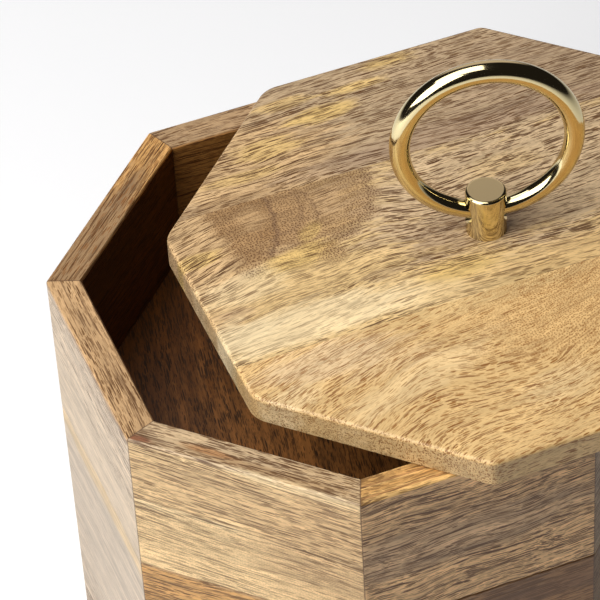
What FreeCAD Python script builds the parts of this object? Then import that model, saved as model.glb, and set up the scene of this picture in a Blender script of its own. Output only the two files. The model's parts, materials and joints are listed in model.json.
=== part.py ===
import FreeCAD, Part
import math
import os

Vector = FreeCAD.Vector

# Body, millimetres: an octagonal tray that stacks on a deeper box
SIDES = 8
BODY_FLATS = 150.0        # outside, flat to flat
WALL = 8.6                # thickness of every wall board
TRAY_HEIGHT = 45.0
TRAY_DEPTH = 38.0         # rim down to the tray's floor
BASE_HEIGHT = 85.0
BASE_FLOOR = 8.0
REBATE = 4.0              # how far the floors are let into the walls
PLUG_DROP = 3.0           # the tray's floor reaches this far into the box below
PLUG_CLEARANCE = 0.4
CORNER_ROUND = 1.2        # outer corners, where two boards meet
RIM_EASE = 0.6
JOINT_EASE = 0.4          # edges of the seam between tray and box
FOOT_EASE = 0.8

# Lid: three edge-glued boards, lying flat on the rim and pushed aside
LID_OVERHANG = 1.25       # past the body on every side, when the lid is closed
LID_THICK = 8.0
LID_CORNER_ROUND = 8.0
LID_TIGHT_ROUND = 3.5
LID_TIGHT_HEADING = 67.5  # degrees; this corner and the opposite one are less worn
LID_ARRIS = 1.0           # rounding of the upper edge
LID_UNDER_EASE = 0.6      # bevel of the lower edge
LID_REAR_GLUE_LINE = 35.8     # from the lid's middle
LID_FRONT_GLUE_LINE = -20.4
LID_PUSHED = 32.8
LID_HEADING = -10.9       # degrees from +X

# Post and ring: a turned post with a cross bore, and a closed ring that swings in it
POST_DIAMETER = 10.6
POST_HEIGHT = 12.95
POST_ROUND = 0.8
POST_ASIDE = 0.37         # along +X from the lid's middle
POST_BACK = 1.25          # along +Y from the lid's middle
BORE_HEIGHT = 6.65        # lid's top face up to the bore's axis
BORE_CLEARANCE = 0.45
BORE_WEB = 0.9            # metal between the bore and the screw's end
RING_RADIUS = 22.15       # to the middle of the wire
RING_WIRE_TOP = 5.9
RING_WIRE_FOOT = 4.7
RING_SECTIONS = 40        # circles that the ring is lofted through
RING_TURN = -15.0         # degrees from +X to the bore's axis
RING_LEAN = 1.2           # degrees that the ring stands back from upright
RING_ROLL = 1.6           # degrees that it stands over to the right, loose in its bore

# Countersunk machine screw, up through the lid into the post
SCREW_DIAMETER = 4.0
SCREW_HEAD_DIAMETER = 8.0
SCREW_HEAD_SUNK = 0.3     # below the lid's underside
SCREW_SLOT_WIDTH = 1.0
SCREW_SLOT_DEPTH = 0.9
SCREW_CLEARANCE = 0.05    # in the post's thread
SCREW_HOLE_CLEARANCE = 0.2

OVERRUN = 5.0             # how far a cutting shape stands past what it cuts

# Worked out from the values above
STEP = 360.0 / SIDES
INNER_FLATS = BODY_FLATS - 2 * WALL
LID_FLATS = BODY_FLATS + 2 * LID_OVERHANG
REBATE_FLATS = INNER_FLATS + 2 * REBATE
PLUG_FLATS = INNER_FLATS - 2 * PLUG_CLEARANCE
TRAY_LOW = BASE_HEIGHT
TRAY_HIGH = TRAY_LOW + TRAY_HEIGHT
TRAY_FLOOR = TRAY_HEIGHT - TRAY_DEPTH
LID_TOP = TRAY_HIGH + LID_THICK
POST_RADIUS = POST_DIAMETER / 2
BORE_WAIST = RING_WIRE_FOOT / 2 + BORE_CLEARANCE
THREAD_DEPTH = BORE_HEIGHT - BORE_WAIST - BORE_WEB
POST_PLACE = Vector(POST_ASIDE, POST_BACK, 0)
UP = Vector(0, 0, 1)
MIDDLE = Vector(0, 0, 0)
COMPASS = ("east", "northeast", "north", "northwest", "west", "southwest", "south", "southeast")
VERTICAL_SHARE = 0.999    # an edge counts as upright when this much of it points up
SAME_HEIGHT = 0.001


def polar(heading):
    """Level unit vector at so many degrees from +X."""
    angle = math.radians(heading)
    return Vector(math.cos(angle), math.sin(angle), 0)


def octagon(flats, z):
    """Closed outline with a flat facing each compass direction."""
    radius = flats / 2 / math.cos(math.radians(STEP / 2))
    corners = [polar((k + 0.5) * STEP) * radius + UP * z for k in range(SIDES)]
    return Part.makePolygon(corners + corners[:1])


def prism(flats, low, high):
    return Part.Face(octagon(flats, low)).extrude(UP * (high - low))


def frustum(low_flats, high_flats, low, high):
    return Part.makeLoft([octagon(low_flats, low), octagon(high_flats, high)], True, True)


def upright_edges(shape):
    return [edge for edge in shape.Edges
            if abs(edge.tangentAt(edge.FirstParameter).z) > VERTICAL_SHARE]


def edges_at(shape, z):
    return [edge for edge in shape.Edges
            if abs(edge.BoundBox.ZMin - z) < SAME_HEIGHT and abs(edge.BoundBox.ZMax - z) < SAME_HEIGHT]


def tier_walls(name, low, high, floor_height, top_ease, foot_ease):
    """Eight mitred boards round one tier, rebated at the foot for its floor."""
    shell = prism(BODY_FLATS, low, high)
    shell = shell.makeFillet(CORNER_ROUND, upright_edges(shell))
    shell = shell.makeFillet(top_ease, edges_at(shell, high))
    shell = shell.makeChamfer(foot_ease, edges_at(shell, low))
    inside = prism(INNER_FLATS, low - OVERRUN, high + OVERRUN)
    rebate = prism(REBATE_FLATS, low - OVERRUN, low + floor_height)
    rim = frustum(INNER_FLATS, INNER_FLATS + 2 * top_ease, high - top_ease, high)
    shell = shell.cut([inside, rebate, rim])
    boards = {}
    foot = Vector(0, 0, low - OVERRUN)
    for k in range(SIDES):
        left = foot + polar((k - 0.5) * STEP) * BODY_FLATS
        right = foot + polar((k + 0.5) * STEP) * BODY_FLATS
        wedge = Part.Face(Part.makePolygon([foot, left, right, foot]))
        wedge = wedge.extrude(UP * (high - low + 2 * OVERRUN))
        boards[f"{name}_wall_{COMPASS[k]}"] = shell.common(wedge)
    return boards


def tray_floor():
    """Panel let into the tray's walls, with a plug that finds the box below."""
    panel = prism(REBATE_FLATS, TRAY_LOW, TRAY_LOW + TRAY_FLOOR)
    plug = prism(PLUG_FLATS, TRAY_LOW - PLUG_DROP, TRAY_LOW)
    plug = plug.makeChamfer(JOINT_EASE, edges_at(plug, TRAY_LOW - PLUG_DROP))
    return panel.fuse(plug)


def screw_head_depth(radius):
    """Depth of the 90 degree cone between the head's rim and a radius inside it."""
    return SCREW_HEAD_DIAMETER / 2 - radius


def at_tight_corner(edge):
    corner = edge.Vertexes[0]
    heading = math.atan2(corner.Y, corner.X) - math.radians(LID_TIGHT_HEADING)
    return abs(math.sin(heading)) < math.sin(math.radians(STEP / 2))


def lid_boards():
    slab = prism(LID_FLATS, TRAY_HIGH, LID_TOP)
    tight = [edge for edge in upright_edges(slab) if at_tight_corner(edge)]
    slab = slab.makeFillet(LID_TIGHT_ROUND, tight)
    worn = [edge for edge in upright_edges(slab) if not at_tight_corner(edge)]
    slab = slab.makeFillet(LID_CORNER_ROUND, worn)
    slab = slab.makeFillet(LID_ARRIS, edges_at(slab, LID_TOP))
    slab = slab.makeChamfer(LID_UNDER_EASE, edges_at(slab, TRAY_HIGH))
    slab = slab.cut(moved(lid_screw_hole(), POST_PLACE))
    rear = behind(LID_REAR_GLUE_LINE)
    rear_and_middle = behind(LID_FRONT_GLUE_LINE)
    return {
        "lid_board_rear": slab.common(rear),
        "lid_board_middle": slab.common(rear_and_middle).cut(rear),
        "lid_board_front": slab.cut(rear_and_middle),
    }


def behind(line):
    """All of the lid's space behind a glue line."""
    corner = Vector(-LID_FLATS, line, TRAY_HIGH - OVERRUN)
    return Part.makeBox(2 * LID_FLATS, LID_FLATS, LID_THICK + 2 * OVERRUN, corner)


def lid_screw_hole():
    radius = SCREW_DIAMETER / 2 + SCREW_HOLE_CLEARANCE
    seat = TRAY_HIGH + SCREW_HEAD_SUNK
    shank = Part.makeCylinder(radius, LID_THICK + OVERRUN, Vector(0, 0, TRAY_HIGH))
    recess = Part.makeCylinder(SCREW_HEAD_DIAMETER / 2, SCREW_HEAD_SUNK, Vector(0, 0, TRAY_HIGH))
    cone = Part.makeCone(SCREW_HEAD_DIAMETER / 2, radius, screw_head_depth(radius), Vector(0, 0, seat))
    return shank.fuse([recess, cone])


def lid_screw():
    radius = SCREW_DIAMETER / 2
    seat = TRAY_HIGH + SCREW_HEAD_SUNK
    head = Part.makeCone(SCREW_HEAD_DIAMETER / 2, radius, screw_head_depth(radius), Vector(0, 0, seat))
    shank = Part.makeCylinder(radius, LID_TOP + THREAD_DEPTH - seat, Vector(0, 0, seat))
    slot_corner = Vector(-SCREW_HEAD_DIAMETER, -SCREW_SLOT_WIDTH / 2, seat - OVERRUN)
    slot = Part.makeBox(2 * SCREW_HEAD_DIAMETER, SCREW_SLOT_WIDTH, OVERRUN + SCREW_SLOT_DEPTH, slot_corner)
    return head.fuse(shank).removeSplitter().cut(slot)


def cross_bore():
    """Hourglass that clears the curved wire as it swings: two cones on X that meet at the waist."""
    inner_radius = RING_RADIUS - RING_WIRE_FOOT / 2
    mouth = RING_RADIUS - math.sqrt(inner_radius ** 2 - POST_RADIUS ** 2) + BORE_CLEARANCE
    reach = POST_RADIUS + OVERRUN
    flare = BORE_WAIST + (mouth - BORE_WAIST) * reach / POST_RADIUS
    cones = [Part.makeCone(BORE_WAIST, flare, reach, MIDDLE, Vector(side, 0, 0)) for side in (-1, 1)]
    return cones[0].fuse(cones[1])


def at_bore(shape):
    """Turns a shape made about the X axis onto the bore's axis."""
    shape = shape.copy()
    shape.rotate(MIDDLE, UP, RING_TURN)
    shape.translate(Vector(0, 0, LID_TOP + BORE_HEIGHT))
    return shape


def post():
    body = Part.makeCylinder(POST_RADIUS, POST_HEIGHT, Vector(0, 0, LID_TOP))
    body = body.makeFillet(POST_ROUND, edges_at(body, LID_TOP + POST_HEIGHT))
    thread_radius = SCREW_DIAMETER / 2 + SCREW_CLEARANCE
    thread = Part.makeCylinder(thread_radius, THREAD_DEPTH + SCREW_CLEARANCE, Vector(0, 0, LID_TOP))
    return body.cut([thread, at_bore(cross_bore())])


def ring_section(turn):
    """Circle of the wire, so many degrees round from the post; the wire swells towards the top."""
    swell_share = (1 - math.cos(math.radians(turn))) / 2
    wire = RING_WIRE_FOOT + (RING_WIRE_TOP - RING_WIRE_FOOT) * swell_share
    section = Part.makeCircle(wire / 2, MIDDLE, Vector(1, 0, 0))
    section.rotate(Vector(0, 0, RING_RADIUS), Vector(0, 1, 0), -turn)
    return Part.Wire(section)


def ring():
    sections = [ring_section(360.0 * k / RING_SECTIONS) for k in range(RING_SECTIONS)]
    solid, ruled, closed = True, True, True
    whole = Part.makeLoft(sections, solid, ruled, closed)
    whole.rotate(MIDDLE, Vector(0, 1, 0), RING_ROLL)
    whole.rotate(MIDDLE, Vector(1, 0, 0), -RING_LEAN)
    return at_bore(whole)


def moved(shape, way):
    shape = shape.copy()
    shape.translate(way)
    return shape


def build():
    nodes = tier_walls("base", 0.0, BASE_HEIGHT, BASE_FLOOR, JOINT_EASE, FOOT_EASE)
    nodes["base_floor"] = prism(REBATE_FLATS, 0.0, BASE_FLOOR)
    nodes.update(tier_walls("tray", TRAY_LOW, TRAY_HIGH, TRAY_FLOOR, RIM_EASE, JOINT_EASE))
    nodes["tray_floor"] = tray_floor()
    lid = lid_boards()
    lid["lid_screw"] = moved(lid_screw(), POST_PLACE)
    lid["knob_post"] = moved(post(), POST_PLACE)
    lid["ring_pull"] = moved(ring(), POST_PLACE)
    pushed = polar(LID_HEADING) * LID_PUSHED
    nodes.update({name: moved(shape, pushed) for name, shape in lid.items()})
    return nodes


os.makedirs("parts", exist_ok=True)
for node, solid in build().items():
    solid.exportStep(f"parts/{node}.step")
    print(node, solid.isValid(), len(solid.Solids), round(solid.Volume, 1))
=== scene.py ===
"""Octagonal wooden box: tray on a deep box, loose lid of three boards, brass ring pull. Studio scene."""
import json
import math
from collections import namedtuple

import bpy
from mathutils import Matrix, Vector


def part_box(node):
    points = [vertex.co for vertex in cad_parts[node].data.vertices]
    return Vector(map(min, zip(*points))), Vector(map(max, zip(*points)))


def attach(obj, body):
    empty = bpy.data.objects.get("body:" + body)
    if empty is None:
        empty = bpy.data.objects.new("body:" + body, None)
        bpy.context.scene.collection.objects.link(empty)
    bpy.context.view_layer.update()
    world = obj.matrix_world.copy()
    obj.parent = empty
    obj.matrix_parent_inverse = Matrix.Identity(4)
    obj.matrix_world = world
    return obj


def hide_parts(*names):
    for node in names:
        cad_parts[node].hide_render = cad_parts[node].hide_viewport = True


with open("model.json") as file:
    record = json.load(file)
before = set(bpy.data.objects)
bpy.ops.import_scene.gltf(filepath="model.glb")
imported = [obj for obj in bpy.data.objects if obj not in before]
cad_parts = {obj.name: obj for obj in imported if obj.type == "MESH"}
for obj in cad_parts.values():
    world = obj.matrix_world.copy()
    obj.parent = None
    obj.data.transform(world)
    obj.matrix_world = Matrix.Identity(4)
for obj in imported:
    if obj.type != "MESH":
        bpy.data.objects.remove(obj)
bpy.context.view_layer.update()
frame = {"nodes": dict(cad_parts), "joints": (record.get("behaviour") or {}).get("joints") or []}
nodes = frame["nodes"]
joints = {joint["name"]: joint for joint in frame["joints"]}

MM = 0.001
COMPASS = ("east", "northeast", "north", "northwest", "west", "southwest", "south", "southeast")
SIDE_STEP = math.radians(45)

# Places taken from the frame
RIM_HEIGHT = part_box("tray_wall_south")[1].z
WALL_INNER = -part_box("tray_wall_south")[1].y
middle_low, middle_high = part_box("lid_board_middle")
LID_X = (middle_low.x + middle_high.x) / 2
LID_Y = (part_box("lid_board_front")[0].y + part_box("lid_board_rear")[1].y) / 2
LID_THICK = middle_high.z - middle_low.z
BORE = Vector(joints["ring_swing"]["pos_m"])
BORE_AXIS = Vector(joints["ring_swing"]["axis"])

# Ring, as in the part's source, a hair slimmer at the top to stay inside the CAD box
RING_RADIUS = 22.15 * MM
RING_WIRE_TOP = 5.87 * MM
RING_WIRE_FOOT = 4.7 * MM
RING_LEAN = math.radians(1.2)
RING_ROLL = math.radians(1.6)
RING_STEPS = 320
WIRE_STEPS = 72

# Camera, from the fit to the rim's and the lid's corners
CAMERA_PLACE = Vector((-240.7, -649.0, 777.5)) * MM
CAMERA_HEADING = math.radians(70.996)
CAMERA_TILT = math.radians(-43.433)
CAMERA_ROLL = math.radians(-3.649)
CAMERA_LENS = 222.37
CAMERA_SENSOR = 36.0


def srgb(red, green, blue):
    """Scene colour of a colour written as on screen, 0 to 255."""
    def linear(level):
        share = level / 255
        return share / 12.92 if share <= 0.04045 else ((share + 0.055) / 1.055) ** 2.4
    return (linear(red), linear(green), linear(blue), 1.0)


# Wood colours
CREAM = srgb(229, 205, 160)
STRAW = srgb(213, 180, 124)
GOLD = srgb(212, 177, 105)
HONEY = srgb(212, 176, 119)
TAN = srgb(203, 168, 121)
SAND = srgb(216, 186, 142)
WARM_SAND = srgb(229, 196, 145)
GREY_TAN = srgb(181, 155, 120)
HEART_TAN = srgb(200, 172, 133)
GREY_BROWN = srgb(164, 138, 110)
BROWN = srgb(156, 124, 85)
DARK_BROWN = srgb(118, 89, 62)
BLOTCH = srgb(150, 114, 72)
UMBER = srgb(132, 82, 30)
ORANGE = srgb(206, 156, 92)
RUST = srgb(160, 112, 66)
DASH = srgb(100, 62, 10)
DASH_RED = srgb(146, 92, 26)
PORE_DARK = srgb(86, 50, 6)
# INSIDE_SHADE is painted shade, multiplied into the walls' inner faces where little light reaches
INSIDE_SHADE = srgb(112, 78, 46)
FLOOR_BROWN = srgb(148, 95, 46)
FLOOR_DARK = srgb(46, 25, 4)
# Painted shadow of the walls on the box's floor, darkest in the corner
FLOOR_SHADOW = srgb(92, 50, 8)
MITRE = srgb(84, 58, 36)
# Painted shade for the lid's side faces, cool and darker, which also stands for their end grain
END_GRAIN_AND_SHADE = srgb(232, 234, 242)
# Wood of the west walls with a painted sheen: the paler, greyer veil of the floor reflected at a grazing
# angle
WEST_SHEEN_TAN = srgb(198, 177, 150)
WEST_SHEEN_GREY = srgb(187, 169, 147)
RIM_TAN = srgb(186, 147, 100)
RIM_ORANGE = srgb(194, 146, 84)
UMBER_TAN = srgb(174, 142, 104)
HONEY_BROWN = srgb(200, 152, 92)
BASE_BROWN = srgb(142, 104, 66)
BASE_DARK = srgb(112, 80, 52)
SOUTH_TAN = srgb(214, 173, 124)
# Painted shade for the inner faces of the north and northwest walls, set to how much light each gets
NORTH_INSIDE_SHADE = srgb(214, 182, 126)
NORTHWEST_INSIDE_SHADE = srgb(148, 118, 54)
RIM_YELLOW = srgb(218, 174, 106)
RED_BROWN = srgb(122, 66, 36)

# Metals
BRASS = (0.70, 0.59, 0.33, 1.0)
STEEL = srgb(190, 189, 186)

# Wood surface, lengths in millimetres
GROUND_LIFT = 1.12  # makes up for what dashes and pores take from the ground's brightness
CROWD = (-0.2, 0.2)  # range of the noise that crowds pores together
PORE_REACH = (0.31, 0.58)  # a pore's half width in its cell, least and most
PORE_CORE = 0.78  # share of that half width at full depth
PORE_DEPTH = (0.55, 1.0)
PORE_WIDTH = 0.46
PORE_CROWDING = (0.3, 1.5)
DASH_WIDTH = 0.42
DASH_SHARE = (0.3, 0.8)
FLECK_WIDTH = 0.32
FLECK_SHARE = 0.8
FLECK_LENGTH = 0.55  # as a share of the dashes' length
FLECK_STRENGTH = 0.5
DOTS_PER_MM = (1.35, 1.7, 1.7)
DOT_EDGE = (0.4, 0.16)
DOT_DEPTH = 0.6
DOT_SCATTER = 0.7
DASH_RELIEF = -0.4
DASH_SHIFT = (3.1, 5.7, 1.9)  # sets the dashes apart from the longer pores
FLECK_SHIFT = (7.9, 2.3, 8.1)
FIBRE_WEIGHT = 0.9
MOTTLE_WEIGHT = 0.5
BROAD_LINE = (0.1, 0.18)
THIN_LINE = (0.12, 0.2)
WANDER_ACROSS = 1.6  # how much faster grain wanders across a board than along it
SEED_SHIFT = (37.0, 11.0, 23.0)
TEAR_SCALE = (0.07, 0.4, 0.4)
TEAR_REACH = 3.0
# Painted shade on a wall's inner face: how far out from the face it starts and where it is full, in
# millimetres
INNER_SHADE_DEPTH = (0.6, 0.1)
MITRE_LINE = (0.3, 0.05)
MITRE_STRENGTH = 0.7
# The lid's edge tint below is end grain with painted shade for its side faces
LID_EDGE = (0.5, 1.5)  # below the lid's face, where its edge's tint starts and is full
WOOD_ROUGHNESS = 0.46
RELIEF_STRENGTH = 0.35
RELIEF_DEPTH = 0.2 * MM
FLOOR_GRAIN_TURN = math.radians(-78)


# Node helpers

def add(tree, kind, inputs=None, **settings):
    """A node with its settings; each input is a value or a socket to link."""
    made = tree.nodes.new(kind)
    for name, value in settings.items():
        setattr(made, name, value)
    for name, value in (inputs or {}).items():
        plug(tree, made.inputs[name], value)
    return made


def plug(tree, socket, value):
    if isinstance(value, bpy.types.NodeSocket):
        tree.links.new(value, socket)
    else:
        socket.default_value = value


def calc(tree, operation, first, second=0.0, third=0.0, clamp=False):
    made = tree.nodes.new("ShaderNodeMath")
    made.operation = operation
    made.use_clamp = clamp
    for socket, value in zip(made.inputs, (first, second, third)):
        plug(tree, socket, value)
    return made.outputs[0]


def vector_calc(tree, operation, first, second):
    made = tree.nodes.new("ShaderNodeVectorMath")
    made.operation = operation
    plug(tree, made.inputs[0], first)
    plug(tree, made.inputs[1], second)
    return made.outputs[0]


def mix_colour(tree, factor, under, over, blend="MIX"):
    made = tree.nodes.new("ShaderNodeMix")
    made.data_type = "RGBA"
    made.blend_type = blend
    plug(tree, made.inputs[0], factor)
    plug(tree, made.inputs[6], under)
    plug(tree, made.inputs[7], over)
    return made.outputs[2]


def ramp(tree, value, from_low, from_high, to_low=0.0, to_high=1.0, smooth=False):
    made = tree.nodes.new("ShaderNodeMapRange")
    made.interpolation_type = "SMOOTHSTEP" if smooth else "LINEAR"
    for socket, given in zip(made.inputs, (value, from_low, from_high, to_low, to_high)):
        plug(tree, socket, given)
    return made.outputs[0]


def noise(tree, vector, detail=2.0, roughness=0.5):
    return add(tree, "ShaderNodeTexNoise", {
        "Vector": vector, "Scale": 1.0, "Detail": detail, "Roughness": roughness})


def new_group(name, inputs, outputs, kind="ShaderNodeTree"):
    """An empty node group with named sockets, and its input and output nodes."""
    tree = bpy.data.node_groups.new(name, kind)
    for label, socket in inputs.items():
        tree.interface.new_socket(label, in_out="INPUT", socket_type="NodeSocket" + socket)
    for label, socket in outputs.items():
        tree.interface.new_socket(label, in_out="OUTPUT", socket_type="NodeSocket" + socket)
    return tree, tree.nodes.new("NodeGroupInput").outputs, tree.nodes.new("NodeGroupOutput").inputs


def use_group(tree, group, inputs):
    made = tree.nodes.new("ShaderNodeGroup")
    made.node_tree = group
    for name, value in inputs.items():
        plug(tree, made.inputs[name], value)
    return made.outputs


# Shader groups for the wood. Places on a board are in millimetres:
# X along the grain, Y across, Z out of the face

def build_grain_flow():
    """Bends straight grain: Y and Z wander as X runs along the board."""
    tree, given, out = new_group(
        "grain flow",
        {"Position": "Vector", "Slope": "Float", "Wave": "Float", "Wave Length": "Float", "Seed": "Float"},
        {"Grain": "Vector"})
    places = add(tree, "ShaderNodeSeparateXYZ", {0: given["Position"]}).outputs
    shorter = calc(tree, "DIVIDE", 1.0, given["Wave Length"])
    wider = calc(tree, "MULTIPLY", shorter, WANDER_ACROSS)
    stretch = add(tree, "ShaderNodeCombineXYZ", {0: shorter, 1: wider, 2: wider}).outputs[0]
    seed = add(tree, "ShaderNodeCombineXYZ", {axis: given["Seed"] for axis in range(3)}).outputs[0]
    field = vector_calc(tree, "ADD", vector_calc(tree, "MULTIPLY", given["Position"], stretch), seed)
    drift = noise(tree, field, detail=1.5).outputs["Color"]
    wander = add(tree, "ShaderNodeSeparateColor", {0: drift}).outputs
    tilt = calc(tree, "MULTIPLY", places[0], given["Slope"])
    across = calc(tree, "SUBTRACT", places[1], tilt)
    across = calc(tree, "MULTIPLY_ADD", calc(tree, "SUBTRACT", wander[0], 0.5), given["Wave"], across)
    deep = calc(tree, "MULTIPLY_ADD", calc(tree, "SUBTRACT", wander[1], 0.5), given["Wave"], places[2])
    bent = add(tree, "ShaderNodeCombineXYZ", {0: places[0], 1: across, 2: deep}).outputs[0]
    shift = vector_calc(tree, "MULTIPLY", seed, SEED_SHIFT)
    tree.links.new(vector_calc(tree, "ADD", bent, shift), out["Grain"])
    return tree


def build_spot():
    """Ellipse on a board: 1 inside, 0 outside. Soft is half its edge's width and Rag breaks the edge up."""
    tree, given, out = new_group(
        "spot",
        {"Position": "Vector", "Centre": "Vector", "Turn": "Vector", "Half Size": "Vector", "Rag": "Float",
         "Soft": "Float"},
        {"Mask": "Float"})
    unit = add(tree, "ShaderNodeMapping",
               {"Vector": given["Position"], "Location": given["Centre"], "Rotation": given["Turn"],
                "Scale": given["Half Size"]}, vector_type="TEXTURE").outputs[0]
    out_by = add(tree, "ShaderNodeVectorMath", {0: unit}, operation="LENGTH").outputs["Value"]
    out_by = calc(tree, "ADD", out_by, given["Rag"])
    outer = calc(tree, "ADD", 1.0, given["Soft"])
    inner = calc(tree, "SUBTRACT", 1.0, given["Soft"])
    tree.links.new(ramp(tree, out_by, outer, inner, smooth=True), out["Mask"])
    return tree


def build_pores():
    """Open pores as slender dashes along X: 1 in a pore, 0 between."""
    tree, given, out = new_group(
        "pores",
        {"Grain": "Vector", "Length": "Float", "Width": "Float", "Share": "Float"},
        {"Mask": "Float"})
    across = calc(tree, "DIVIDE", 1.0, given["Width"])
    along = calc(tree, "DIVIDE", 1.0, given["Length"])
    squeeze = add(tree, "ShaderNodeCombineXYZ", {0: along, 1: across, 2: across}).outputs[0]
    cells = add(tree, "ShaderNodeTexVoronoi",
                {"Vector": vector_calc(tree, "MULTIPLY", given["Grain"], squeeze), "Scale": 1.0}).outputs
    chance = add(tree, "ShaderNodeSeparateColor", {0: cells["Color"]}).outputs
    reach = ramp(tree, chance[0], 0.0, 1.0, *PORE_REACH)
    dash = ramp(tree, cells["Distance"], reach, calc(tree, "MULTIPLY", reach, PORE_CORE), smooth=True)
    kept = calc(tree, "LESS_THAN", chance[1], given["Share"])
    depth = calc(tree, "MULTIPLY", kept, ramp(tree, chance[2], 0.0, 1.0, *PORE_DEPTH))
    tree.links.new(calc(tree, "MULTIPLY", dash, depth), out["Mask"])
    return tree


def build_oiled_wood(pores):
    """Oiled open-pored wood on a ground colour: streaks, fine dashes or dots, longer pores and long lines."""
    tree, given, out = new_group(
        "oiled wood",
        {"Grain": "Vector", "Ground": "Color", "Dash Colour": "Color", "Dash Length": "Float",
         "Pore Colour": "Color", "Pore Strength": "Float", "Pore Length": "Float", "Pore Share": "Float",
         "Line Strength": "Float", "Dots": "Float", "Calm": "Float", "Streak": "Float"},
        {"Colour": "Color", "Height": "Float"})

    def grain_noise(along, across, detail, roughness=0.55):
        thin = 1 / across
        squeeze = add(tree, "ShaderNodeCombineXYZ", {0: calc(tree, "DIVIDE", 1.0, along), 1: thin, 2: thin})
        squeezed = vector_calc(tree, "MULTIPLY", given["Grain"], squeeze.outputs[0])
        return calc(tree, "SUBTRACT", noise(tree, squeezed, detail, roughness).outputs["Fac"], 0.5)

    streaks = grain_noise(along=70.0, across=4.0, detail=3.0)
    fibres = grain_noise(along=14.0, across=0.8, detail=2.0, roughness=0.7)
    mottle = grain_noise(along=13.0, across=7.0, detail=2.0)
    level = calc(tree, "ADD", streaks, calc(tree, "MULTIPLY", fibres, FIBRE_WEIGHT))
    level = calc(tree, "MULTIPLY_ADD", mottle, MOTTLE_WEIGHT, level)
    level = calc(tree, "MULTIPLY_ADD", level, given["Streak"], GROUND_LIFT)
    colour = add(tree, "ShaderNodeHueSaturation", {"Color": given["Ground"], "Value": level}).outputs[0]

    crowd = grain_noise(along=28.0, across=4.5, detail=2.0)
    plain = calc(tree, "SUBTRACT", 1.0, given["Dots"])
    lively = calc(tree, "SUBTRACT", 1.0, given["Calm"])
    dashes = use_group(tree, pores, {
        "Grain": vector_calc(tree, "ADD", given["Grain"], DASH_SHIFT), "Length": given["Dash Length"],
        "Width": DASH_WIDTH, "Share": ramp(tree, crowd, *CROWD, *DASH_SHARE)})["Mask"]
    flecks = use_group(tree, pores, {
        "Grain": vector_calc(tree, "ADD", given["Grain"], FLECK_SHIFT),
        "Length": calc(tree, "MULTIPLY", given["Dash Length"], FLECK_LENGTH), "Width": FLECK_WIDTH,
        "Share": FLECK_SHARE})["Mask"]
    dashes = calc(tree, "MAXIMUM", dashes, calc(tree, "MULTIPLY", flecks, FLECK_STRENGTH))
    dot_places = vector_calc(tree, "MULTIPLY", given["Grain"], DOTS_PER_MM)
    dot_cells = add(tree, "ShaderNodeTexVoronoi", {
        "Vector": dot_places, "Scale": 1.0, "Randomness": DOT_SCATTER}, voronoi_dimensions="2D").outputs
    dots = ramp(tree, dot_cells["Distance"], *DOT_EDGE)
    fine = calc(tree, "MULTIPLY_ADD", dots, given["Dots"], calc(tree, "MULTIPLY", dashes, plain))
    fine_tint = calc(tree, "MULTIPLY", fine, lively, clamp=True)
    colour = mix_colour(tree, fine_tint, colour, given["Dash Colour"])

    share = calc(tree, "MULTIPLY", given["Pore Share"], ramp(tree, crowd, *CROWD, *PORE_CROWDING))
    longer = use_group(tree, pores, {
        "Grain": given["Grain"], "Length": given["Pore Length"], "Width": PORE_WIDTH, "Share": share})["Mask"]
    broad_lines = ramp(tree, grain_noise(along=32.0, across=0.8, detail=1.0), *BROAD_LINE)
    thin_lines = ramp(tree, grain_noise(along=42.0, across=0.5, detail=1.0), *THIN_LINE)
    lines = calc(tree, "MAXIMUM", broad_lines, thin_lines)
    lines = calc(tree, "MULTIPLY", lines, given["Line Strength"])
    open_pore = calc(tree, "MULTIPLY", longer, given["Pore Strength"])
    open_pore = calc(tree, "MULTIPLY", open_pore, plain)
    dot_pores = calc(tree, "MULTIPLY", calc(tree, "MULTIPLY", dots, given["Dots"]), DOT_DEPTH)
    open_pore = calc(tree, "MAXIMUM", open_pore, dot_pores)
    open_pore = calc(tree, "MULTIPLY", calc(tree, "MAXIMUM", open_pore, lines), lively, clamp=True)
    tree.links.new(mix_colour(tree, open_pore, colour, given["Pore Colour"]), out["Colour"])
    relief = calc(tree, "MULTIPLY_ADD", open_pore, -1.0, calc(tree, "MULTIPLY", fine_tint, DASH_RELIEF))
    tree.links.new(relief, out["Height"])
    return tree


def build_wall_marks():
    """Painted shade inside the box, multiplied in on a wall's inner face, and the fine line where a wall
    board meets the next at a mitre.
    """
    tree, given, out = new_group(
        "wall marks", {"Position": "Vector", "Colour": "Color", "Inside": "Color"}, {"Colour": "Color"})
    places = add(tree, "ShaderNodeSeparateXYZ", {0: given["Position"]}).outputs
    inner = WALL_INNER / MM
    inner_shade = ramp(tree, places[2], inner + INNER_SHADE_DEPTH[0], inner + INNER_SHADE_DEPTH[1], smooth=True)
    shaded = mix_colour(tree, inner_shade, given["Colour"], given["Inside"], "MULTIPLY")
    half_width = calc(tree, "MULTIPLY", places[2], math.tan(SIDE_STEP / 2))
    to_mitre = calc(tree, "SUBTRACT", half_width, calc(tree, "ABSOLUTE", places[0]))
    line = calc(tree, "MULTIPLY", ramp(tree, to_mitre, *MITRE_LINE, smooth=True), MITRE_STRENGTH)
    tree.links.new(mix_colour(tree, line, shaded, MITRE), out["Colour"])
    return tree


def build_lid_marks():
    """Tint on the lid's edges: the darker end grain they show more of than the face, with painted shade on
    these side faces.
    """
    tree, given, out = new_group(
        "lid marks", {"Position": "Vector", "Colour": "Color", "Inside": "Color"}, {"Colour": "Color"})
    height = add(tree, "ShaderNodeSeparateXYZ", {0: given["Position"]}).outputs[2]
    face = LID_THICK / MM
    edge = ramp(tree, height, face - LID_EDGE[0], face - LID_EDGE[1], smooth=True)
    tree.links.new(mix_colour(tree, edge, given["Colour"], given["Inside"], "MULTIPLY"), out["Colour"])
    return tree


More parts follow.
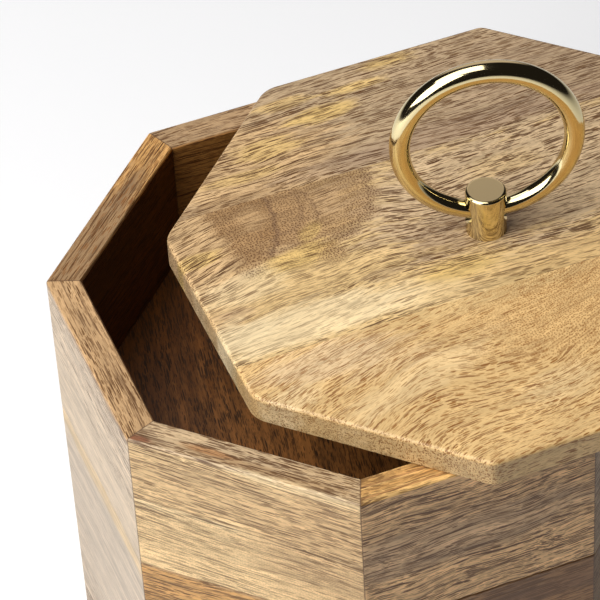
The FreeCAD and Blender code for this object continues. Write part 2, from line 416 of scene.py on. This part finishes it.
grain_flow = build_grain_flow()
spot = build_spot()
oiled_wood = build_oiled_wood(build_pores())
wall_marks = build_wall_marks()
lid_marks = build_lid_marks()

# A patch of another colour on a board: middle and half size in millimetres along and across the grain,
# strength, and turn in degrees. soft and rag shape its edge. Its pores may show as dots or, where calm,
# fade; below 0 they deepen. clear is the share of its middle left as it was. z and deep are its middle
# and half size into the board
THROUGH = 1000.0
Patch = namedtuple("Patch", "x y along across colour strength turn soft rag dots calm clear z deep",
                   defaults=(1.0, 0.0, 0.4, 0.6, None, None, 0.0, 0.0, THROUGH))
# A place where the grain swells aside by so many millimetres
Swell = namedtuple("Swell", "x y along across lift turn soft z deep", defaults=(0.0, 1.0, 0.0, THROUGH))
# How a board's grain runs and how its pores and streaks look
Grain = namedtuple(
    "Grain", "seed slope wave wave_length dash_colour dash_length "
    "pore_colour pore_strength pore_length pore_share line_strength streak")
# inside is multiplied in on a wall's inner face, as painted shade, and on the lid's edges, as end grain tint
# with painted shade
Board = namedtuple("Board", "ground grain patches swells inside", defaults=((), (), INSIDE_SHADE))


def board_material(name, place, turn, board, marks=None):
    """Wood of one board, measured from place in metres; turn brings its grain onto X, its face onto XY."""
    material = bpy.data.materials.new(name)
    material.use_nodes = True
    tree = material.node_tree
    tree.nodes.clear()
    grain = board.grain
    source = tree.nodes.new("ShaderNodeTexCoord").outputs["Object"]
    on_board = add(tree, "ShaderNodeMapping", {
        "Vector": source, "Location": -(turn @ place) / MM, "Rotation": turn.to_euler(),
        "Scale": (1 / MM, 1 / MM, 1 / MM)}).outputs[0]
    flow = use_group(tree, grain_flow, {
        "Position": on_board, "Slope": grain.slope, "Wave": grain.wave, "Wave Length": grain.wave_length,
        "Seed": grain.seed})["Grain"]

    def spot_mask(area, rag, share=1.0):
        return use_group(tree, spot, {
            "Position": on_board, "Centre": (area.x, area.y, area.z),
            "Turn": (0.0, 0.0, math.radians(area.turn)),
            "Half Size": (area.along * share, area.across * share, area.deep),
            "Rag": rag, "Soft": area.soft})["Mask"]

    def laid_over(under, value, mask):
        return calc(tree, "MULTIPLY_ADD", calc(tree, "SUBTRACT", value, under), mask, under)

    for swell in board.swells:
        aside = calc(tree, "MULTIPLY", spot_mask(swell, 0.0), -swell.lift)
        flow = vector_calc(tree, "ADD", flow, add(tree, "ShaderNodeCombineXYZ", {1: aside}).outputs[0])
    tear_field = vector_calc(tree, "MULTIPLY", flow, TEAR_SCALE)
    torn = calc(tree, "SUBTRACT", noise(tree, tear_field, detail=4.0, roughness=0.62).outputs["Fac"], 0.5)
    colour = board.ground
    dots = 0.0
    calm = 0.0
    for patch in board.patches:
        rag = calc(tree, "MULTIPLY", torn, patch.rag * TEAR_REACH)
        mask = spot_mask(patch, rag)
        if patch.clear:
            mask = calc(tree, "SUBTRACT", mask, spot_mask(patch, rag, patch.clear), clamp=True)
        colour = mix_colour(tree, calc(tree, "MULTIPLY", mask, patch.strength), colour, patch.colour)
        if patch.dots is not None:
            dots = laid_over(dots, patch.dots, mask)
        if patch.calm is not None:
            calm = laid_over(calm, patch.calm, mask)
    surface = use_group(tree, oiled_wood, {
        "Grain": flow, "Ground": colour, "Dash Colour": grain.dash_colour, "Dash Length": grain.dash_length,
        "Pore Colour": grain.pore_colour, "Pore Strength": grain.pore_strength,
        "Pore Length": grain.pore_length, "Pore Share": grain.pore_share,
        "Line Strength": grain.line_strength, "Dots": dots, "Calm": calm, "Streak": grain.streak})
    colour = surface["Colour"]
    if marks:
        colour = use_group(tree, marks, {
            "Position": on_board, "Colour": colour, "Inside": board.inside})["Colour"]
    relief = add(tree, "ShaderNodeBump", {
        "Height": surface["Height"], "Strength": RELIEF_STRENGTH, "Distance": RELIEF_DEPTH})
    finish = add(tree, "ShaderNodeBsdfPrincipled", {
        "Base Color": colour, "Roughness": WOOD_ROUGHNESS, "Normal": relief.outputs[0]})
    tree.links.new(finish.outputs[0], tree.nodes.new("ShaderNodeOutputMaterial").inputs[0])
    return material


def metal_material(name, colour, roughness):
    material = bpy.data.materials.new(name)
    material.use_nodes = True
    finish = material.node_tree.nodes["Principled BSDF"].inputs
    finish["Base Color"].default_value = colour
    finish["Metallic"].default_value = 1.0
    finish["Roughness"].default_value = roughness
    return material


def dress(name, material):
    nodes[name].data.materials.clear()
    nodes[name].data.materials.append(material)


# The lid's three boards, grain along X
LID_BOARDS = {
    "rear": Board(
        GREY_TAN, Grain(
            seed=1.3, slope=0.0, wave=7.0, wave_length=40.0, dash_colour=DASH, dash_length=4.8,
            pore_colour=PORE_DARK, pore_strength=1.0, pore_length=11.0, pore_share=0.8, line_strength=0.4,
            streak=0.8),
        [Patch(-48, 49, 26, 17, TAN), Patch(-40, 53, 9, 4, GOLD, 0.6), Patch(-50, 45, 10, 2, GOLD, 0.5),
         Patch(-22, 60, 9, 3, GOLD, 0.8), Patch(-10, 67, 8, 2, GOLD, 0.7), Patch(2, 73, 8, 2.5, GOLD, 0.7),
         Patch(-30, 68, 8, 2, GOLD, 0.5), Patch(48, 52, 42, 22, GREY_BROWN, 0.5),
         Patch(8, 40, 46, 4, GREY_BROWN, 0.9), Patch(-60, 37.5, 20, 2, BROWN, 0.5)],
        inside=END_GRAIN_AND_SHADE),
    "middle": Board(
        STRAW, Grain(
            seed=4.1, slope=0.04, wave=6.0, wave_length=40.0, dash_colour=DASH, dash_length=4.0,
            pore_colour=PORE_DARK, pore_strength=1.0, pore_length=8.0, pore_share=0.9, line_strength=0.1,
            streak=0.8),
        [Patch(-58, 24, 34, 15, TAN), Patch(22, 15, 54, 24, HEART_TAN, soft=0.3, rag=0.7, calm=-0.1),
         Patch(-2, 2, 18, 8, GREY_BROWN, 0.45), Patch(14, 22, 10, 4, STRAW, 0.5),
         Patch(-38, 33, 18.5, 21, BLOTCH, 0.6, soft=0.15, rag=0.3, dots=0.6),
         Patch(-33, 27, 4.5, 6, TAN, 0.4, turn=-20, soft=0.6, rag=0.5, dots=0.1),
         Patch(-38, 33, 18.8, 21.3, DARK_BROWN, 0.4, soft=0.06, rag=0.2, dots=0.9, clear=0.88),
         Patch(-50, 27.5, 13.4, 13.3, TAN, 0.25, soft=0.2, rag=0.2, dots=0.4),
         Patch(-50, 27.5, 13.6, 13.5, DARK_BROWN, 0.65, soft=0.05, rag=0.12, dots=0.8, clear=0.94),
         Patch(-47, 29, 9, 12, BLOTCH, 0.5, soft=0.3, rag=0.3, dots=0.7),
         Patch(-47, 31, 8, 10.5, DARK_BROWN, 0.4, soft=0.08, rag=0.15, dots=0.8, clear=0.88),
         Patch(-61, 35, 13.5, 25, BLOTCH, 0.85, soft=0.2, rag=0.25, dots=0.8),
         Patch(-53.5, 29, 4, 4.5, TAN, 0.5, turn=-20, soft=0.6, rag=0.5, dots=0.2),
         Patch(-61, 35, 14.2, 26, DARK_BROWN, 0.8, soft=0.05, rag=0.12, dots=0.9, clear=0.93),
         Patch(-74.5, 22, 12, 34, TAN, turn=6, soft=0.2, rag=0.3, dots=0.0),
         Patch(-41, 18.5, 4, 2.2, GOLD, 0.6, turn=40, dots=0.4),
         Patch(-48, 10, 10, 4, GOLD, 0.8, turn=12, dots=0.2),
         Patch(-39, 8.5, 3.5, 3.5, BLOTCH, 0.7, turn=-20, soft=0.6, rag=0.8, dots=0.9),
         Patch(-54, 1, 24, 7, STRAW, 0.6, soft=0.6, calm=0.4), Patch(-72, 20, 7, 2.5, GOLD, 0.7),
         Patch(-31, 1, 9, 4, STRAW, 0.7), Patch(-65, 6, 12, 6, CREAM, 0.5),
         Patch(-56, -12.5, 32, 7, CREAM, 0.8, calm=0.6), Patch(-69, -10, 9, 4, CREAM, 0.8),
         Patch(-15, -15, 22, 5, CREAM, 0.3, calm=0.5), Patch(-12, -10, 10, 4, GOLD, 0.7),
         Patch(25, -16, 40, 5, HONEY, 0.7, calm=0.3), Patch(-70, -2, 5, 1.5, GREY_BROWN, 0.4),
         Patch(-31, -4, 5, 2, GREY_BROWN, 0.3)],
        [Swell(-27, 22, 12, 18, 5), Swell(-56, 22, 14, 18, 5), Swell(-30, -12, 40, 14, 6)],
        inside=END_GRAIN_AND_SHADE),
    "front": Board(
        HONEY, Grain(
            seed=7.7, slope=0.27, wave=12.0, wave_length=42.0, dash_colour=DASH_RED, dash_length=3.2,
            pore_colour=UMBER, pore_strength=0.9, pore_length=6.5, pore_share=0.6, line_strength=0.0,
            streak=0.7),
        [Patch(-54, -27, 18, 6, SAND, 0.9, calm=0.2), Patch(-36, -42, 22, 5, CREAM, 0.3, turn=18, calm=0.3),
         Patch(-6, -58, 10, 5, CREAM, 0.25, turn=10), Patch(-68, -36, 8, 4, CREAM, 0.4),
         Patch(-42, -34, 14, 4, SAND, 0.4), Patch(14, -34, 30, 16, ORANGE, 0.2, dots=0.5),
         Patch(-10, -22, 30, 3, STRAW, 0.7)],
        [Swell(-35, -50, 26, 18, 8), Swell(-8, -54, 18, 16, -6)],
        inside=END_GRAIN_AND_SHADE),
}
LEVEL = Matrix.Identity(3)
lid_place = Vector((LID_X, LID_Y, RIM_HEIGHT))
for word, board in LID_BOARDS.items():
    dress(f"lid_board_{word}", board_material(f"lid {word} board", lid_place, LEVEL, board, lid_marks))


def wall_turn(side):
    """Turns a wall so that X runs along it, Y up and Z out."""
    heading = side * SIDE_STEP
    upright = Matrix.Rotation(math.radians(-90), 3, "X")
    return upright @ Matrix.Rotation(-heading - math.radians(90), 3, "Z")


# The walls, heights measured from the rim down
WALL_GRAIN = Grain(
    seed=0.0, slope=0.03, wave=3.0, wave_length=50.0, dash_colour=DASH, dash_length=4.0,
    pore_colour=PORE_DARK, pore_strength=1.0, pore_length=10.0, pore_share=0.8, line_strength=0.7, streak=0.9)
# Painted sheen over the lower west walls, which also calms their pores
SHEEN_BELOW = Patch(0, -62, 90, 50, WEST_SHEEN_TAN, calm=0.8)
TRAY_WALLS = {
    "east": Board(TAN, WALL_GRAIN._replace(seed=2.2)),
    "northeast": Board(SAND, WALL_GRAIN._replace(seed=5.9)),
    "north": Board(UMBER_TAN, WALL_GRAIN._replace(seed=9.6), inside=NORTH_INSIDE_SHADE),
    "northwest": Board(
        ORANGE, WALL_GRAIN._replace(seed=13.3, dash_colour=UMBER),
        [Patch(24, 0, 34, 20, BROWN), Patch(24, 0, 34, 3, DARK_BROWN, 0.3)],
        inside=NORTHWEST_INSIDE_SHADE),
    "west": Board(
        WEST_SHEEN_TAN, WALL_GRAIN._replace(seed=17.0),
        [SHEEN_BELOW, Patch(0, 0, 60, 2, RIM_TAN, 0.9)]),
    "southwest": Board(
        WARM_SAND, WALL_GRAIN._replace(seed=20.7, slope=-0.05, pore_length=11.0, line_strength=0.9),
        [Patch(0, -12, 60, 9, TAN, 0.6, calm=0.2),
         Patch(0, 0, 60, 1.0, GREY_TAN, 0.9, soft=0.3, rag=0.2, calm=0.0),
         Patch(4, 0, 24, 1.0, BROWN, 0.8, soft=0.5, rag=0.4, z=72.6, deep=1.3),
         Patch(-10, 0, 7, 1.0, RUST, 0.8, soft=0.5, rag=0.4, z=71.5, deep=1.0),
         Patch(-29, 0, 4, 1.0, RED_BROWN, 0.9, rag=0.3, z=73.6, deep=0.9),
         Patch(16, -0.6, 22, 2.2, CREAM, 0.6, turn=-2, soft=0.5, rag=0.3, calm=0.4, z=75, deep=1.2),
         Patch(-14, -22, 26, 1.4, CREAM, 0.9, turn=-1),
         Patch(-12, -20.4, 24, 0.4, BROWN, 0.9, turn=-1, soft=0.3, rag=0.2),
         Patch(0, -34, 60, 12, WARM_SAND, dots=0.2, calm=0.3), Patch(28, -22, 26, 22, TAN, 0.75),
         Patch(0, -45, 60, 0.5, BROWN, 0.8)]),
    "south": Board(
        SOUTH_TAN, WALL_GRAIN._replace(seed=24.4, wave=6.0, wave_length=26.0, line_strength=1.0, streak=1.5),
        [Patch(-8, -22, 40, 8, GREY_BROWN, 0.6),
         Patch(0, 0, 60, 0.5, RIM_YELLOW, 0.9, soft=0.3, rag=0.1, calm=0.3),
         Patch(0, 0, 60, 1.0, RIM_ORANGE, 0.9, rag=0.2, z=68.2, deep=1.2),
         Patch(0, 0, 60, 1.0, RUST, 0.8, rag=0.2, z=69.6, deep=0.4),
         Patch(0, 0, 60, 1.0, RIM_ORANGE, 0.9, rag=0.2, z=71.4, deep=1.1),
         Patch(0, 0, 60, 1.0, RUST, 0.8, rag=0.2, z=73.2, deep=0.4)]),
    "southeast": Board(GREY_TAN, WALL_GRAIN._replace(seed=28.1)),
}
BASE_WALLS = {
    "east": Board(TAN, WALL_GRAIN._replace(seed=43.1)),
    "northeast": Board(SAND, WALL_GRAIN._replace(seed=46.2)),
    "north": Board(TAN, WALL_GRAIN._replace(seed=49.3)),
    "northwest": Board(TAN, WALL_GRAIN._replace(seed=52.4)),
    "west": Board(
        WEST_SHEEN_TAN, WALL_GRAIN._replace(seed=55.5),
        [SHEEN_BELOW._replace(colour=WEST_SHEEN_GREY), Patch(0, -48, 60, 3, STRAW, 0.6)]),
    "southwest": Board(
        HONEY_BROWN, WALL_GRAIN._replace(seed=58.6),
        [Patch(0, -45, 60, 0.4, BROWN, 0.8)]),
    "south": Board(
        BASE_BROWN, WALL_GRAIN._replace(seed=61.7, dash_colour=PORE_DARK, line_strength=0.9, streak=1.4),
        [Patch(0, -52, 60, 3, BASE_DARK, 0.9), Patch(0, -45, 60, 0.6, DARK_BROWN, 0.8)]),
    "southeast": Board(BROWN, WALL_GRAIN._replace(seed=64.8, dash_colour=PORE_DARK)),
}
rim_place = Vector((0, 0, RIM_HEIGHT))
for side, word in enumerate(COMPASS):
    for tier, looks in (("tray", TRAY_WALLS), ("base", BASE_WALLS)):
        dress(f"{tier}_wall_{word}", board_material(
            f"{tier} {word} wall", rim_place, wall_turn(side), looks[word], wall_marks))

FLOOR_BOARD = Board(
    FLOOR_BROWN, Grain(
        seed=11.0, slope=0.02, wave=3.0, wave_length=60.0, dash_colour=FLOOR_DARK, dash_length=3.0,
        pore_colour=FLOOR_DARK, pore_strength=1.0, pore_length=6.0, pore_share=0.7, line_strength=0.3,
        streak=1.2),
    # Painted shadow of the west walls on the floor, darkest in the corner
    [Patch(40, 52, 34, 34, FLOOR_SHADOW, soft=0.9), Patch(16, 64, 50, 16, FLOOR_SHADOW, soft=0.9)])
floor_turn = Matrix.Rotation(FLOOR_GRAIN_TURN, 3, "Z")
for name in ("tray_floor", "base_floor"):
    dress(name, board_material(name.replace("_", " "), rim_place, floor_turn, FLOOR_BOARD))

brass = metal_material("polished brass", BRASS, roughness=0.1)
dress("knob_post", brass)
dress("lid_screw", metal_material("zinc plated steel", STEEL, roughness=0.3))


# Ring: a smooth swelling wire bent round a circle

def ring_tree():
    tree, given, out = new_group(
        "swelling ring",
        {"Geometry": "Geometry", "Radius": "Float", "Wire Foot": "Float", "Wire Top": "Float",
         "Middle": "Vector", "Turn": "Rotation", "Material": "Material"},
        {"Geometry": "Geometry"}, "GeometryNodeTree")
    circle = add(tree, "GeometryNodeCurvePrimitiveCircle", {
        "Resolution": RING_STEPS, "Radius": given["Radius"]})
    profile = add(tree, "GeometryNodeCurvePrimitiveCircle", {"Resolution": WIRE_STEPS, "Radius": 1.0})
    way_round = tree.nodes.new("GeometryNodeSplineParameter").outputs["Factor"]
    round_by = calc(tree, "MULTIPLY", way_round, 2 * math.pi)
    foot_radius = calc(tree, "MULTIPLY", given["Wire Foot"], 0.5)
    top_radius = calc(tree, "MULTIPLY", given["Wire Top"], 0.5)
    swell = ramp(tree, calc(tree, "COSINE", round_by), 1.0, -1.0, foot_radius, top_radius)
    wire = add(tree, "GeometryNodeCurveToMesh", {
        "Curve": circle.outputs["Curve"], "Profile Curve": profile.outputs["Curve"], "Scale": swell})
    smooth = add(tree, "GeometryNodeSetShadeSmooth", {"Geometry": wire.outputs["Mesh"]})
    placed = add(tree, "GeometryNodeTransform", {
        "Geometry": smooth.outputs[0], "Translation": given["Middle"], "Rotation": given["Turn"]})
    real = add(tree, "GeometryNodeRealizeInstances", {"Geometry": placed.outputs[0]})
    dressed = add(tree, "GeometryNodeSetMaterial", {
        "Geometry": real.outputs[0], "Material": given["Material"]})
    tree.links.new(dressed.outputs[0], out["Geometry"])
    return tree


def grown_mesh(name, tree, inputs):
    """Plain mesh object from a geometry node tree with these named inputs."""
    seed = bpy.data.objects.new(name + " seed", bpy.data.meshes.new(name + " seed"))
    bpy.context.scene.collection.objects.link(seed)
    modifier = seed.modifiers.new("grow", "NODES")
    modifier.node_group = tree
    for item in tree.interface.items_tree:
        if item.in_out == "INPUT" and item.name in inputs:
            modifier[item.identifier] = inputs[item.name]
    depsgraph = bpy.context.evaluated_depsgraph_get()
    mesh = bpy.data.meshes.new_from_object(seed.evaluated_get(depsgraph), depsgraph=depsgraph)
    bpy.data.objects.remove(seed)
    made = bpy.data.objects.new(name, mesh)
    bpy.context.scene.collection.objects.link(made)
    return made


back = Vector((0, 0, 1)).cross(BORE_AXIS)
upright = Vector((0, 0, 1)) * math.cos(RING_LEAN) + back * math.sin(RING_LEAN)
rise = upright * math.cos(RING_ROLL) + BORE_AXIS * math.sin(RING_ROLL)
aside = BORE_AXIS * math.cos(RING_ROLL) - upright * math.sin(RING_ROLL)
ring_axes = Matrix((-rise, aside, (-rise).cross(aside))).transposed()
ring = grown_mesh("ring_polished", ring_tree(), {
    "Radius": RING_RADIUS, "Wire Foot": RING_WIRE_FOOT, "Wire Top": RING_WIRE_TOP,
    "Middle": BORE + rise * RING_RADIUS, "Turn": ring_axes.to_euler(), "Material": brass})
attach(ring, "ring")
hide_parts("ring_pull")


# Stage
STAGE_HALF = 3.0
STAGE_BOUNCE = (0.5, 0.5, 0.5, 1)
STAGE_SEEN = (0.985, 0.99, 1.0, 1)
STAGE_ROUGHNESS = 0.9
BACK_PANEL = Vector((0.31, 0.89, 0.34)).normalized()
PANEL_EDGE = (0.86, 0.96)  # cosines of the angle to the panel's middle where it starts and is full
PANEL_COLOUR = (1.0, 0.88, 0.84, 1.0)
PANEL_LEVEL = 0.7
STUDIO_LEVEL = 0.015
LAMP_TARGET = (0, 0, 0.1)


def make_floor():
    """Pale floor: white to the eye and in reflections, greyer for the light it throws back."""
    mesh = bpy.data.meshes.new("floor")
    corners = [(x * STAGE_HALF, y * STAGE_HALF, 0) for x, y in ((-1, -1), (1, -1), (1, 1), (-1, 1))]
    mesh.from_pydata(corners, [], [(0, 1, 2, 3)])
    floor = bpy.data.objects.new("floor", mesh)
    bpy.context.scene.collection.objects.link(floor)
    material = bpy.data.materials.new("pale floor")
    material.use_nodes = True
    tree = material.node_tree
    rays = tree.nodes.new("ShaderNodeLightPath").outputs
    seen = calc(tree, "MAXIMUM", rays["Is Camera Ray"], rays["Is Glossy Ray"])
    seen = calc(tree, "MAXIMUM", seen, rays["Is Transmission Ray"])
    paint = tree.nodes["Principled BSDF"].inputs
    plug(tree, paint["Base Color"], mix_colour(tree, seen, STAGE_BOUNCE, STAGE_SEEN))
    paint["Roughness"].default_value = STAGE_ROUGHNESS
    paint["Specular IOR Level"].default_value = 0.0
    mesh.materials.append(material)


def make_lamp(name, place, size, power):
    lamp = bpy.data.lights.new(name, "AREA")
    lamp.size = size
    lamp.energy = power
    stand = bpy.data.objects.new(name, lamp)
    stand.location = place
    stand.rotation_euler = (Vector(place) - Vector(LAMP_TARGET)).to_track_quat("Z", "Y").to_euler()
    bpy.context.scene.collection.objects.link(stand)


def make_world():
    """Dark studio with a soft warm panel low behind."""
    world = bpy.data.worlds.new("studio")
    world.use_nodes = True
    tree = world.node_tree
    way = tree.nodes.new("ShaderNodeTexCoord").outputs["Generated"]
    towards = add(tree, "ShaderNodeVectorMath", {0: way, 1: BACK_PANEL}, operation="DOT_PRODUCT")
    level = ramp(tree, towards.outputs["Value"], *PANEL_EDGE, STUDIO_LEVEL, PANEL_LEVEL, smooth=True)
    plug(tree, tree.nodes["Background"].inputs["Strength"], level)
    tree.nodes["Background"].inputs["Color"].default_value = PANEL_COLOUR
    bpy.context.scene.world = world


def make_camera():
    camera = bpy.data.cameras.new("camera")
    camera.lens = CAMERA_LENS
    camera.sensor_width = CAMERA_SENSOR
    stand = bpy.data.objects.new("camera", camera)
    bpy.context.scene.collection.objects.link(stand)
    ahead = Vector((math.cos(CAMERA_TILT) * math.cos(CAMERA_HEADING),
                    math.cos(CAMERA_TILT) * math.sin(CAMERA_HEADING), math.sin(CAMERA_TILT)))
    level = Vector((ahead.y, -ahead.x, 0)).normalized()
    right = level * math.cos(CAMERA_ROLL) + level.cross(ahead) * math.sin(CAMERA_ROLL)
    upward = right.cross(ahead)
    turn = Matrix((right, upward, -ahead)).transposed().to_4x4()
    stand.matrix_world = Matrix.Translation(CAMERA_PLACE) @ turn
    bpy.context.scene.camera = stand


make_floor()
make_world()
make_lamp("key", place=(-1.1, -0.35, 0.95), size=1.2, power=21.4)
make_lamp("overhead", place=(-0.4, 0.1, 1.3), size=1.1, power=11.2)
make_camera()
bpy.context.scene.view_settings.view_transform = "Standard"
